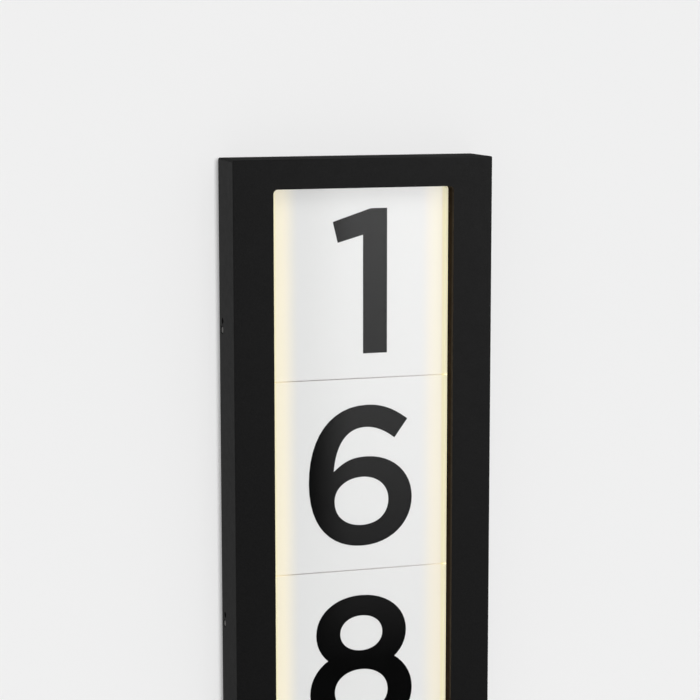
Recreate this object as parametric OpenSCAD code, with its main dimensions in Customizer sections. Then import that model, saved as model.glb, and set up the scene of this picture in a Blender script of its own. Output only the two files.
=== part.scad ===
// Illuminated house number sign: a wall pan, a lit stack of number tiles, and a front frame
// that lifts off forwards once four side screws are slackened.
// Origin: middle of the wall face. X to the right, Y into the wall, Z up.
// A "depth" is a distance out from the wall, so depth d lies at y = -d.

/* [Front frame] */
// Width of the frame
frame_w = 184; // [180:1:200]
// Height of the frame
frame_h = 440; // [438:1:460]
// Distance from the wall to the front face
frame_d = 39; // [38:0.5:42]
// Thickness of the frame's outer walls and front
wall = 2; // [1.5:0.1:2]
// Width of the border at the left and right of the window
border_side = 28; // [27:0.5:30]
// Width of the border above and below the window
border_end = 20; // [19:0.5:22]
// How far the clear cover lies behind the front face
recess = 12.2; // [12:0.1:12.4]
// Radius of the frame's four upright corners
corner_r = 1.5; // [1.2:0.1:1.6]
// Radius of the edge around the front face
edge_r = 0.8; // [0.5:0.1:1]
// Radius of the window's corners
window_r = 3; // [2:0.5:4]

/* [Number tiles] */
// Distance from one tile's middle to the next
tile_pitch = 135.3; // [134:0.1:135.5]
// Number of tiles in the stack
tile_count = 3; // [3:1:3]
// Gap between two tiles
tile_gap = 0.4; // [0.2:0.1:0.6]
// Width of a tile
tile_w = 144; // [140:0.5:144]
// Thickness of a tile
tile_t = 3; // [2.5:0.1:3]
// Thickness of the numerals on the tiles
numeral_t = 0.3; // [0.2:0.05:0.4]
// Height of a numeral
numeral_h = 100; // [90:1:102]

/* [Side screws] */
// Height of the upper and lower screws from the middle
screw_z = 103; // [95:1:110]
// Distance of the screws from the wall
screw_depth = 6.9; // [6.5:0.1:7.5]
// Thread diameter
screw_d = 3; // [3:0.5:3]
// Diameter of the head, which is a small cylinder with a coned underside
screw_head_d = 4; // [3.8:0.1:4.2]
// Diameter of the countersink at the frame's surface
screw_sink_d = 6.2; // [6:0.1:6.4]
// Height of the vent hole above each screw
vent_rise = 6.3; // [6:0.1:8]

/* [Wall fixing] */
// Distance between the two slots for a junction box's screws
box_spacing = 88.9; // [88.9:0.1:88.9]
// Length of each slot, end to end
slot_len = 22; // [18:1:24]
// Width of each slot
slot_w = 4.8; // [4.5:0.1:5]
// Horizontal distance between the corner anchor holes
anchor_x = 124; // [110:2:128]
// Vertical distance between the corner anchor holes
anchor_z = 344; // [330:2:350]
// Diameter of the corner anchor holes
anchor_d = 5; // [4.5:0.1:5.5]
// Bore for the supply cable
inlet_d = 10; // [8:0.5:11]

/* [Lighting] */
// Number of light chips on each side
led_count = 24; // [12:1:26]
// Distance between the chips
led_pitch = 16.5; // [14:0.5:17]
// Length of the driver
driver_len = 120; // [100:1:130]
// Width of the driver
driver_w = 34; // [30:1:36]
// Height of the driver off the pan
driver_t = 13; // [11:0.5:13.5]

/* [Hidden] */
$fn = 48;
eps = 0.01;
fit_gap = 0.03;          // running clearance around a thread or a pin

// Frame and clear cover
half_w = frame_w / 2;
half_h = frame_h / 2;
window_x = half_w - border_side;
window_z = half_h - border_end;
lens_front = frame_d - recess;
lens_t = 1.5;
lens_back = lens_front - lens_t;
lens_x = window_x + 4.5;
lens_z = window_z + 11;
gasket_t = 1;
flange_t = 2;            // return flange around the window
boss_z = half_h - 5.7;
boss_x = 56;
boss_d = 5;
retainer_t = 1.5;
retainer_z0 = window_z + 6.5;
retainer_z1 = half_h - wall - 0.8;
drain_x = 55;
drain_d = 4;
vent_d = 4;
vent_depth = 8.2;
vent_chamfer = 0.3;
screw_hole_d = screw_d + 0.4;
screw_len = 9;           // from the frame's surface to the screw's tip
head_top = 0.1;          // how far the head's top lies below the frame's surface
head_sunk = (screw_sink_d - screw_head_d) / 2 - fit_gap;
nut_side = 7;
nut_t = 2.5;
plate_hole_d = 3.4;      // clearance hole for a 3 mm screw in sheet metal

// Tiles, counted in depth from the wall
tile_front = lens_back - 0.5;
tile_back = tile_front - tile_t;
tile_h = tile_pitch - tile_gap;
stack_half = tile_count * tile_pitch / 2;
tile_edge = 0.5;         // bevel around a tile's front
numeral_front = tile_front + numeral_t;

// Pan
sheet = 1.2;
pan_x = half_w - wall - 0.6;
pan_z = half_h - wall - 0.6;
rim_w = 7.2;
rim_step = 1.5;
plateau_x = pan_x - rim_w;
plateau_z = pan_z - rim_w;
side_flange = 14;
end_flange = 12;
notch_w = 3.6;

// Rails and lights
rail_x0 = tile_w / 2 + 0.5;
rail_x1 = rail_x0 + 1.5;
rail_lip = 3.2;
rail_foot = 6.8;
rail_front = tile_front + 1.2;
rail_bottom = -stack_half - 0.1;
rail_top = stack_half + 2.2;
rail_screw_x = rail_x1 + 3.6;
rail_screw_z = [-180, -60, 60, 180];
board_t = 1.2;
board_w = 4;
board_back = 16.4;
board_half = 198;
chip = [0.7, 2.8, 3.5];

// Inside parts
grommet_neck = 8;        // radius in the pan's hole
grommet_flange = 11;
grommet_h = 3.4;
driver_top = -40;
driver_mid = driver_top - driver_len / 2;
ear = 9;                 // length of the lug at each end of the driver
ear_t = 2;
ear_screw_x = 6;
ear_screw_z = (driver_len + ear + 1) / 2;
block = [40, 12, 14];
block_z = 36;
way_x = [-12, 0, 12];    // middles of the terminal block's three ways
way_screw_d = 5;
earth_x = 32;
earth_z = 26;
reflector_back = 15.2;
reflector_t = 0.8;
reflector_x = 66;
reflector_z = 198;
support_x = 50;
support_z = [-150, -12, 120];
support_peg_d = 3;
shelf_t = 1.5;
shelf_x = 66;
shelf_leg = 13;
shelf_screw_x = 30;
shelf_screw_z = rail_bottom + 7;
saddle_x = 40;
saddle_z = -185;
lead_depth = 7;
lead_d = 3;
wire_d = 2.6;

// Wire routes, each a list of hand-set points from one end to the other
dc_route = [
    [6, -7, -160.1], [6, -7, -168], [11, -7, -178], [22, -7, -184], [40, -7, -185], [54, -7, -186],
    [63, -8, -188], [67.6, -11, -191], [68.4, -14.5, -193.4], [69, -17.2, -194.7],
    [70.6, -18.4, -195]
];
line_route = [
    [-12, -6.6, 32.8], [-12, -6.6, 26.5], [-15, -6.4, 14], [-17, -6.2, 0], [-16, -6.2, -16],
    [-11, -6.6, -28], [-8, -7, -34], [-8, -7, -39.8]
];
earth_route = [
    [0, -6.6, 32.8], [0, -6.4, 27.5], [2, -4.8, 23.5], [7, -3.3, 21.3], [13, -3.2, 22.4],
    [18, -3.3, 25.4], [20.8, -3.4, 26], [23.1, -3.4, 26]
];

// ---------- small building blocks ----------

// Extrudes an outline drawn in X and Z from depth d0 to depth d1
module slab(d0, d1) {
    translate([0, -d0, 0])
        rotate([90, 0, 0])
            linear_extrude(d1 - d0)
                children();
}

// A bar of given size, from depth d0 to depth d1
module bar(x0, x1, d0, d1, z0, z1) {
    translate([x0, -d1, z0])
        cube([x1 - x0, d1 - d0, z1 - z0]);
}

// Extrudes a cross-section, drawn with its front at -Y, up and down along Z
module along_z(len) {
    translate([0, 0, -len / 2])
        linear_extrude(len)
            children();
}

// The same along X, with the cross-section's width standing along Z
module along_x(len) {
    translate([-len / 2, 0, 0])
        rotate([90, 0, 90])
            linear_extrude(len)
                rotate(-90)
                    children();
}

module rounded(w, h, r) {
    square([w - 2 * r, h], center = true);
    square([w, h - 2 * r], center = true);
    for (x = [-1, 1], z = [-1, 1])
        translate([x * (w / 2 - r), z * (h / 2 - r)])
            circle(r);
}

module ring(w, h, r, band) {
    difference() {
        rounded(w, h, r);
        rounded(w - 2 * band, h - 2 * band, max(r - band, 0.5));
    }
}

// A round hole or peg that runs along Y, at [x, z]
module peg(x, z, d, d0, d1) {
    translate([x, -d0, z])
        rotate([90, 0, 0])
            cylinder(d = d, h = d1 - d0);
}

// A pan-head screw that points to the wall: head from depth at, shank of length len below it
module pan_screw(x, z, at, d, len) {
    translate([x, -at, z])
        rotate([90, 0, 0])
            difference() {
                union() {
                    translate([0, 0, -len])
                        cylinder(d = d - 2 * fit_gap, h = len + d * 0.3);
                    cylinder(d1 = d * 1.85, d2 = d * 1.5, h = d * 0.55);
                }
                translate([0, 0, d * 0.25])
                    cross_recess(d * 0.95, d);
            }
}

module cross_recess(w, h) {
    for (a = [0, 90])
        rotate([0, 0, a])
            translate([-w / 2, -w / 7, 0])
                cube([w, w / 3.5, h]);
}

// ---------- front frame and what comes off with it ----------

module outer_block() {
    intersection() {
        slab(0, frame_d)
            rounded(frame_w, frame_h, corner_r);
        along_z(frame_h)
            front_rounded(frame_w);
        along_x(frame_w)
            front_rounded(frame_h);
    }
}

// A cross-section of width w whose two front corners are rounded
module front_rounded(w) {
    translate([-w / 2, -(frame_d - edge_r)])
        square([w, frame_d - edge_r]);
    translate([-w / 2 + edge_r, -frame_d])
        square([w - 2 * edge_r, frame_d]);
    for (s = [-1, 1])
        translate([s * (w / 2 - edge_r), -(frame_d - edge_r)])
            circle(edge_r);
}

module front_frame() {
    color("#232323")
        difference() {
            union() {
                difference() {
                    outer_block();
                    bar(-half_w + wall, half_w - wall, -1, frame_d - wall,
                        -half_h + wall, half_h - wall);
                }
                slab(lens_front + gasket_t, frame_d - wall + eps)
                    rounded(2 * (window_x + flange_t), 2 * (window_z + flange_t),
                            window_r + flange_t);
                for (x = [-boss_x, 0, boss_x], z = [-boss_z, boss_z])
                    peg(x, z, boss_d, lens_back, frame_d - wall + eps);
            }
            slab(0, frame_d + 1)
                rounded(2 * window_x, 2 * window_z, window_r);
            for (x = [-boss_x, 0, boss_x], z = [-boss_z, boss_z])
                peg(x, z, screw_d, lens_back - 1, frame_d - wall - 1.5);
            for (s = [-1, 1], z = [-screw_z, screw_z]) {
                translate([s * half_w, -screw_depth, z])
                    rotate([0, -s * 90, 0]) {
                        translate([0, 0, -1])
                            cylinder(d = screw_hole_d, h = wall + 2);
                        translate([0, 0, -0.2])
                            cylinder(d1 = screw_sink_d + 0.4, d2 = screw_hole_d,
                                     h = (screw_sink_d - screw_hole_d) / 2 + 0.2);
                    }
                translate([s * half_w, -vent_depth, z + vent_rise])
                    rotate([0, -s * 90, 0]) {
                        translate([0, 0, -1])
                            cylinder(d = vent_d, h = wall + 2);
                        translate([0, 0, -vent_chamfer])
                            cylinder(d1 = vent_d + 4 * vent_chamfer, d2 = vent_d,
                                     h = 2 * vent_chamfer);
                    }
            }
            for (x = [-drain_x, drain_x])
                translate([x, -frame_d / 2, -half_h - 1])
                    cylinder(d = drain_d, h = wall + 2);
        }
}

module front_lens() {
    color("#DCE6EA", 0.35)
        slab(lens_back, lens_front)
            rounded(2 * lens_x, 2 * lens_z, 1);
}

module lens_gasket() {
    color("#2E2E2E")
        slab(lens_front, lens_front + gasket_t)
            ring(2 * (window_x + flange_t), 2 * (window_z + flange_t), window_r + flange_t,
                 flange_t - 0.2);
}

// Bar that clamps one end of the cover; side is 1 at the top and -1 at the bottom
module lens_retainer(side) {
    color("#A8AAAD")
        difference() {
            bar(-window_x - 2, window_x + 2, lens_back - retainer_t, lens_back,
                side > 0 ? retainer_z0 : -retainer_z1, side > 0 ? retainer_z1 : -retainer_z0);
            for (x = [-boss_x, 0, boss_x])
                peg(x, side * boss_z, screw_d + 0.4, lens_back - retainer_t - 1, lens_back + 1);
        }
}

// These point to the front, so the whole screw is turned about
module retainer_screws() {
    color("#B9BBBE")
        for (x = [-boss_x, 0, boss_x], z = [-boss_z, boss_z])
            translate([x, -(lens_back - retainer_t), z])
                rotate([180, 0, 0])
                    pan_screw(0, 0, 0, screw_d, 7);
}

// Screw through the frame's side; s is -1 at the left and 1 at the right
module side_screw(s, z) {
    cone = (screw_head_d - screw_d) / 2;
    color("#8E9093")
        translate([s * half_w, -screw_depth, z])
            rotate([0, -s * 90, 0])
                difference() {
                    union() {
                        translate([0, 0, head_top])
                            cylinder(d = screw_head_d, h = head_sunk - head_top + eps);
                        translate([0, 0, head_sunk])
                            cylinder(d1 = screw_head_d, d2 = screw_d, h = cone);
                        translate([0, 0, head_sunk + cone - eps])
                            cylinder(d = screw_d, h = screw_len - head_sunk - cone);
                    }
                    translate([0, 0, head_top - 0.1])
                        cross_recess(screw_d * 0.8, 1.2);
                }
}

module clamp_nut(s, z) {
    color("#9FA1A4")
        translate([s * (pan_x - sheet - 0.1), -screw_depth, z])
            rotate([0, -s * 90, 0])
                difference() {
                    translate([-nut_side / 2, -nut_side / 2, 0])
                        cube([nut_side, nut_side, nut_t]);
                    translate([0, 0, -1])
                        cylinder(d = screw_d + 2 * fit_gap, h = nut_t + 2);
                }
}

// ---------- wall side ----------

module back_pan() {
    color("#3A3B3D")
        difference() {
            union() {
                slab(0, sheet)
                    square([2 * plateau_x, 2 * plateau_z], center = true);
                slab(0, rim_step + sheet)
                    pan_band(plateau_x, plateau_z, sheet);
                slab(rim_step, rim_step + sheet)
                    pan_band(pan_x, pan_z, rim_w + sheet);
                for (s = [-1, 1]) {
                    bar(s > 0 ? pan_x - sheet : -pan_x, s > 0 ? pan_x : -pan_x + sheet,
                        rim_step, side_flange, -pan_z, pan_z);
                    bar(-pan_x, pan_x, rim_step, end_flange,
                        s > 0 ? pan_z - sheet : -pan_z, s > 0 ? pan_z : -pan_z + sheet);
                }
            }
            for (s = [-1, 1], z = [-screw_z, screw_z])
                translate([s * (pan_x - sheet / 2), -screw_depth, z]) {
                    rotate([0, 90, 0])
                        cylinder(d = notch_w, h = 3, center = true);
                    translate([-1.5, -side_flange, -notch_w / 2])
                        cube([3, side_flange, notch_w]);
                }
            for (s = [-1, 1])
                slab(-1, sheet + 1)
                    slot(s * box_spacing / 2, slot_len, slot_w);
            for (x = [-anchor_x / 2, anchor_x / 2], z = [-anchor_z / 2, anchor_z / 2])
                peg(x, z, anchor_d, -1, sheet + 1);
            peg(0, 0, 2 * grommet_neck, -1, sheet + 1);
        }
}

module pan_band(x, z, band) {
    difference() {
        square([2 * x, 2 * z], center = true);
        square([2 * (x - band), 2 * (z - band)], center = true);
    }
}

module slot(x, len, w) {
    translate([x, 0]) {
        square([len - w, w], center = true);
        for (s = [-1, 1])
            translate([s * (len - w) / 2, 0])
                circle(d = w);
    }
}

module wall_gasket() {
    color("#2A2B2C")
        slab(0, rim_step)
            pan_band(pan_x - 0.8, pan_z - 0.8, rim_w - 1.2);
}

module inlet_grommet() {
    color("#262626")
        rotate([90, 0, 0])
            rotate_extrude()
                polygon([[inlet_d / 2, 0], [grommet_neck, 0], [grommet_neck, sheet],
                         [grommet_flange, sheet], [grommet_flange, sheet + 1.3],
                         [grommet_neck + 0.4, sheet + 2], [grommet_neck - 1, sheet + grommet_h],
                         [inlet_d / 2, sheet + grommet_h]]);
}

module led_driver() {
    color("#D9DADB")
        difference() {
            union() {
                translate([0, 0, driver_mid - driver_len / 2])
                    linear_extrude(driver_len)
                        driver_section();
                for (s = [-1, 1])
                    bar(-driver_w / 2 + 6, driver_w / 2 - 6, sheet, sheet + ear_t,
                        driver_mid + s * (driver_len + ear) / 2 - ear / 2,
                        driver_mid + s * (driver_len + ear) / 2 + ear / 2);
            }
            for (s = [-1, 1])
                peg(-s * ear_screw_x, driver_mid + s * ear_screw_z, plate_hole_d, 0, 5);
            for (x = [-9 : 4.5 : 9])
                bar(x - 1, x + 1, sheet + driver_t - 0.8, sheet + driver_t + 1,
                    driver_mid - 32, driver_mid + 32);
        }
}

module driver_section() {
    r = 2;
    translate([-driver_w / 2, -sheet - driver_t + r])
        square([driver_w, driver_t - r]);
    translate([-driver_w / 2 + r, -sheet - driver_t])
        square([driver_w - 2 * r, driver_t]);
    for (s = [-1, 1])
        translate([s * (driver_w / 2 - r), -sheet - driver_t + r])
            circle(r);
}

module driver_screws() {
    color("#B9BBBE")
        for (s = [-1, 1])
            pan_screw(-s * ear_screw_x, driver_mid + s * ear_screw_z, sheet + ear_t, screw_d,
                      ear_t - 0.1);
}

module terminal_block() {
    color("#E6E2D6")
        difference() {
            bar(-block[0] / 2, block[0] / 2, sheet, sheet + block[1],
                block_z - block[2] / 2, block_z + block[2] / 2);
            for (x = way_x) {
                peg(x, block_z - 2, way_screw_d, sheet + block[1] - 4, sheet + block[1] + 1);
                translate([x, -6.6, block_z - block[2] / 2 - 1])
                    cylinder(d = 3.4, h = 5);
            }
            for (x = [-6, 6])
                bar(x - 0.6, x + 0.6, sheet + 3, sheet + block[1] + 1,
                    block_z - block[2] / 2 - 1, block_z + block[2] / 2 + 1);
        }
}

module terminal_screws() {
    color("#C9B36A")
        for (x = way_x)
            difference() {
                peg(x, block_z - 2, way_screw_d - 0.6, sheet + block[1] - 4,
                    sheet + block[1] - 1.5);
                bar(x - 2.5, x + 2.5, sheet + block[1] - 2.2, sheet + block[1],
                    block_z - 2.4, block_z - 1.6);
            }
}

// Earth screw with its ring tag, whose barrel grips the end of the earth wire
module earth_screw() {
    color("#3F7A45")
        difference() {
            union() {
                translate([earth_x, -sheet, earth_z])
                    rotate([90, 0, 0]) {
                        cylinder(d = 9, h = 0.8);
                        cylinder(d = 7.6, h = 4, $fn = 6);
                    }
                bar(earth_x - 8, earth_x - 3, sheet, sheet + 0.8, earth_z - 1.6, earth_z + 1.6);
                translate([earth_x - 8.8, -3.4, earth_z])
                    rotate([0, 90, 0])
                        cylinder(d = 3.8, h = 3.6);
            }
            bar(earth_x - 3, earth_x + 3, sheet + 3.2, sheet + 5, earth_z - 0.5, earth_z + 0.5);
        }
}

// Channel that guides the tiles' edges; it stands at the right, and the left one is its mirror
module led_rail() {
    color("#C4C6C8")
        difference() {
            translate([0, 0, rail_bottom])
                linear_extrude(rail_top - rail_bottom)
                    polygon([
                        [rail_x0, -sheet], [rail_x1 + rail_foot, -sheet],
                        [rail_x1 + rail_foot, -2 * sheet], [rail_x1, -2 * sheet],
                        [rail_x1, -rail_front], [rail_x0 - rail_lip, -rail_front],
                        [rail_x0 - rail_lip, -rail_front + 1], [rail_x0, -rail_front + 1],
                        [rail_x0, -tile_back + 0.2], [rail_x0 - 4, -tile_back + 0.2],
                        [rail_x0 - 4, -tile_back + 1.2], [rail_x0, -tile_back + 1.2]
                    ]);
            for (z = rail_screw_z)
                peg(rail_screw_x, z, plate_hole_d, 0, 5);
        }
}

module led_board() {
    color("#F2F2EE")
        bar(rail_x0 - board_t, rail_x0, board_back, board_back + board_w, -board_half, board_half);
}

module led_chips() {
    color("#F6E7A8")
        for (i = [0 : led_count - 1])
            translate([rail_x0 - board_t - chip[0], -board_back - (board_w + chip[1]) / 2,
                       (i - (led_count - 1) / 2) * led_pitch - chip[2] / 2])
                cube([chip[0], chip[1], chip[2]]);
}

module rail_screws() {
    color("#B9BBBE")
        for (s = [-1, 1], z = rail_screw_z)
            pan_screw(s * rail_screw_x, z, 2 * sheet, screw_d, sheet - 0.1);
}

module back_reflector() {
    color("#F7F7F5")
        difference() {
            bar(-reflector_x, reflector_x, reflector_back, reflector_back + reflector_t,
                -reflector_z, reflector_z);
            for (x = [-support_x, support_x], z = support_z)
                peg(x, z, support_peg_d + 0.2, reflector_back - 1, reflector_back + 2);
        }
}

module reflector_supports() {
    color("#EDEDE8")
        for (x = [-support_x, support_x], z = support_z) {
            peg(x, z, 7, sheet, reflector_back);
            peg(x, z, support_peg_d, reflector_back - eps, reflector_back + reflector_t + 0.1);
            translate([x, -reflector_back - reflector_t - 0.1, z])
                rotate([90, 0, 0])
                    cylinder(d1 = support_peg_d + 2, d2 = support_peg_d, h = 1.2);
        }
}

module tile_shelf() {
    color("#C4C6C8")
        difference() {
            union() {
                bar(-shelf_x, shelf_x, sheet, tile_front + 0.2, rail_bottom - shelf_t, rail_bottom);
                bar(-rail_x1 - rail_foot, rail_x1 + rail_foot, sheet, tile_back - 1,
                    rail_bottom - shelf_t, rail_bottom);
                bar(-shelf_x, shelf_x, sheet, 2 * sheet, rail_bottom - eps, rail_bottom + shelf_leg);
            }
            for (x = [-shelf_screw_x, shelf_screw_x])
                peg(x, shelf_screw_z, plate_hole_d, 0, 5);
        }
}

module shelf_screws() {
    color("#B9BBBE")
        for (x = [-shelf_screw_x, shelf_screw_x])
            pan_screw(x, shelf_screw_z, 2 * sheet, screw_d, sheet - 0.1);
}

// ---------- number tiles ----------

function tile_z(i) = (tile_count - 1) / 2 * tile_pitch - i * tile_pitch;

// Tile i, counted from the top, with a bevel around its front
module tile(i) {
    color("#F4F4F2")
        translate([0, 0, tile_z(i)])
            intersection() {
                slab(tile_back, tile_front)
                    rounded(tile_w, tile_h, 1);
                along_z(tile_h)
                    bevelled(tile_w);
                along_x(tile_w)
                    bevelled(tile_h);
            }
}

// Cross-section of a tile of width w, with its front at -Y
module bevelled(w) {
    polygon([
        [-w / 2, -tile_back], [-w / 2, -tile_front + tile_edge],
        [-w / 2 + tile_edge, -tile_front], [w / 2 - tile_edge, -tile_front],
        [w / 2, -tile_front + tile_edge], [w / 2, -tile_back]
    ]);
}

// Points of a cubic curve, without its last one
function curve(p, n = 12) = [
    for (i = [0 : n - 1])
        let (t = i / n, u = 1 - t)
            u * u * u * p[0] + 3 * u * u * t * p[1] + 3 * u * t * t * p[2] + t * t * t * p[3]
];

// Closed outline through knots; each row is a point, then the two handles towards the next one
function outline(rows) = [
    for (i = [0 : len(rows) - 1])
        each curve([rows[i][0], rows[i][1], rows[i][2], rows[(i + 1) % len(rows)][0]])
];

// An oval a little squarer than an ellipse, half as wide as w and half as high as h
function oval(c, w, h, k = 0.58) = outline([
    [c + [w, 0], c + [w, h * k], c + [w * k, h]],
    [c + [0, h], c + [-w * k, h], c + [-w, h * k]],
    [c + [-w, 0], c + [-w, -h * k], c + [-w * k, -h]],
    [c + [0, -h], c + [w * k, -h], c + [w, -h * k]]
]);

module glyph_one() {
    polygon([
        [20.5, 49.8], [8.8, 49.8], [-18.4, 41], [-14.9, 26.7], [3.2, 31.8], [3.2, -50.2],
        [20.5, -50.2]
    ]);
}

module glyph_six() {
    difference() {
        polygon(outline([
            [[6, 49.1], [-20.5, 49.1], [-36, 28]],
            [[-36, -4.3], [-36, -36.2], [-19.4, -50.3]],
            [[2.3, -50.3], [24, -50.3], [39, -35.8]],
            [[39, -17.5], [39, 0], [25.3, 12.8]],
            [[6, 12.8], [-5.3, 12.8], [-10.8, 9.6]],
            [[-18.1, 3.1], [-16.4, 24], [-7.6, 33.6]],
            [[5, 33.6], [13.3, 33.6], [20.1, 29.6]],
            [[26.1, 25.1], [29.2, 29.4], [32.4, 33.8]],
            [[35.5, 38.1], [26.6, 44.8], [18.2, 49.1]]
        ]));
        polygon(outline([
            [[-17.5, -17.9], [-17.5, -7.6], [-7.8, -1.4]],
            [[2.7, -1.4], [13.3, -1.4], [21.8, -8]],
            [[21.8, -18.2], [21.8, -27.7], [15.4, -35.6]],
            [[1.9, -35.6], [-5.8, -35.6], [-17.5, -31.4]]
        ]));
    }
}

module glyph_eight() {
    difference() {
        union() {
            polygon(oval([2, 22.6], 33, 27));
            polygon(oval([2, -19.8], 37.5, 30.5));
        }
        polygon(oval([2, 22.4], 15.5, 12.6));
        polygon(oval([2, -19.6], 19.5, 15.8));
    }
}

module numeral(i) {
    k = numeral_h / 100;
    color("#1C1C1C")
        translate([0, 0, tile_z(i)])
            slab(tile_front, numeral_front)
                scale([k, k])
                    children();
}

// ---------- wires ----------

// Points along a smooth line through the route's own points
function smooth(route, steps) = [
    for (i = [0 : len(route) - 2])
        for (j = [0 : steps - 1])
            let (t = j / steps, a = route[max(i - 1, 0)], b = route[i], c = route[i + 1],
                 d = route[min(i + 2, len(route) - 1)])
                0.5 * (2 * b + (c - a) * t + (2 * a - 5 * b + 4 * c - d) * t * t
                       + (3 * b - a - 3 * c + d) * t * t * t),
    route[len(route) - 1]
];

function unit(v) = v / norm(v);

// A round wire swept along a route, with eight sides
module wire(route, d, steps = 2) {
    sides = 8;
    line = smooth(route, steps);
    last = len(line) - 1;
    up = [0.2, -0.9, 0.3];
    rings = [
        for (i = [0 : last])
            let (t = unit(line[min(i + 1, last)] - line[max(i - 1, 0)]), u = unit(cross(t, up)),
                 v = cross(t, u))
                for (k = [0 : sides - 1])
                    line[i] + d / 2 * (cos(k * 360 / sides) * u + sin(k * 360 / sides) * v)
    ];
    faces = [
        [for (k = [0 : sides - 1]) k],
        for (i = [0 : last - 1])
            for (k = [0 : sides - 1])
                [i * sides + k, (i + 1) * sides + k, (i + 1) * sides + (k + 1) % sides,
                 i * sides + (k + 1) % sides],
        [for (k = [sides - 1 : -1 : 0]) last * sides + k]
    ];
    polyhedron(rings, faces, convexity = 4);
}

// Small saddles that hold the two low-voltage leads
module lead_saddles() {
    color("#EDEDE8")
        for (s = [-1, 1])
            difference() {
                bar(s * saddle_x - 3, s * saddle_x + 3, sheet, lead_depth + 3,
                    saddle_z - 4, saddle_z + 4);
                translate([s * saddle_x, -lead_depth, saddle_z])
                    rotate([0, 90, 0])
                        cylinder(d = lead_d + 0.6, h = 8, center = true);
                bar(s * saddle_x - 4, s * saddle_x + 4, sheet + 1.2, lead_depth + 4,
                    saddle_z + 2, saddle_z + 5);
            }
}

front_frame();
front_lens();
lens_gasket();
lens_retainer(1);  // lens_retainer_top
lens_retainer(-1);  // lens_retainer_bottom
retainer_screws();
side_screw(-1, screw_z);  // side_screw_left_upper
side_screw(-1, -screw_z);  // side_screw_left_lower
side_screw(1, screw_z);  // side_screw_right_upper
side_screw(1, -screw_z);  // side_screw_right_lower
clamp_nut(-1, screw_z);  // clamp_nut_left_upper
clamp_nut(-1, -screw_z);  // clamp_nut_left_lower
clamp_nut(1, screw_z);  // clamp_nut_right_upper
clamp_nut(1, -screw_z);  // clamp_nut_right_lower
back_pan();
wall_gasket();
inlet_grommet();
led_driver();
driver_screws();
terminal_block();
terminal_screws();
earth_screw();
mirror([1, 0, 0]) led_rail();  // led_rail_left
led_rail();  // led_rail_right
mirror([1, 0, 0]) led_board();  // led_board_left
led_board();  // led_board_right
mirror([1, 0, 0]) led_chips();  // led_chips_left
led_chips();  // led_chips_right
rail_screws();
back_reflector();
reflector_supports();
tile_shelf();
shelf_screws();
tile(0);  // tile_top
tile(1);  // tile_middle
tile(2);  // tile_bottom
numeral(0) glyph_one();  // numeral_one
numeral(1) glyph_six();  // numeral_six
numeral(2) glyph_eight();  // numeral_eight
color("#2B2B2B") wire(line_route, wire_d);  // line_wire
color("#E9E9E6") mirror([1, 0, 0]) wire(line_route, wire_d);  // neutral_wire
color("#4C8A3C") wire(earth_route, wire_d);  // earth_wire
color("#DDDDD8") mirror([1, 0, 0]) wire(dc_route, lead_d);  // dc_lead_left
color("#DDDDD8") wire(dc_route, lead_d);  // dc_lead_right
lead_saddles();
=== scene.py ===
"""Looks of the illuminated house number sign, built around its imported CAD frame."""

import math

import bmesh
import bpy
from mathutils import Euler, Matrix, Vector


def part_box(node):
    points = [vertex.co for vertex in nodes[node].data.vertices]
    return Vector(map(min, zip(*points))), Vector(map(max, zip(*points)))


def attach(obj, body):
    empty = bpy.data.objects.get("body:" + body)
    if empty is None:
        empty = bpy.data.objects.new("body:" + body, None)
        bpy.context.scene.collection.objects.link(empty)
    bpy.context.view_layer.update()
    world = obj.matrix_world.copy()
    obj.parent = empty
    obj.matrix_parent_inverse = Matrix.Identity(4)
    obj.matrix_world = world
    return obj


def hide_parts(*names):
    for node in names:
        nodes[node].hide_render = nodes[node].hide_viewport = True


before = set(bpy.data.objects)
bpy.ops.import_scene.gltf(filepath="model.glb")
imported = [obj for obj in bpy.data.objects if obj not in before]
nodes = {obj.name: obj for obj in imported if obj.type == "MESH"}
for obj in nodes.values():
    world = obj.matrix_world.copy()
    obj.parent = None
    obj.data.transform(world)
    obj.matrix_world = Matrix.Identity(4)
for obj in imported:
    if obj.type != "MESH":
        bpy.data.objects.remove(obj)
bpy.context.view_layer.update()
scene = bpy.context.scene
MM = 0.001

# ---------------------------------------------------------------- materials


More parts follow.
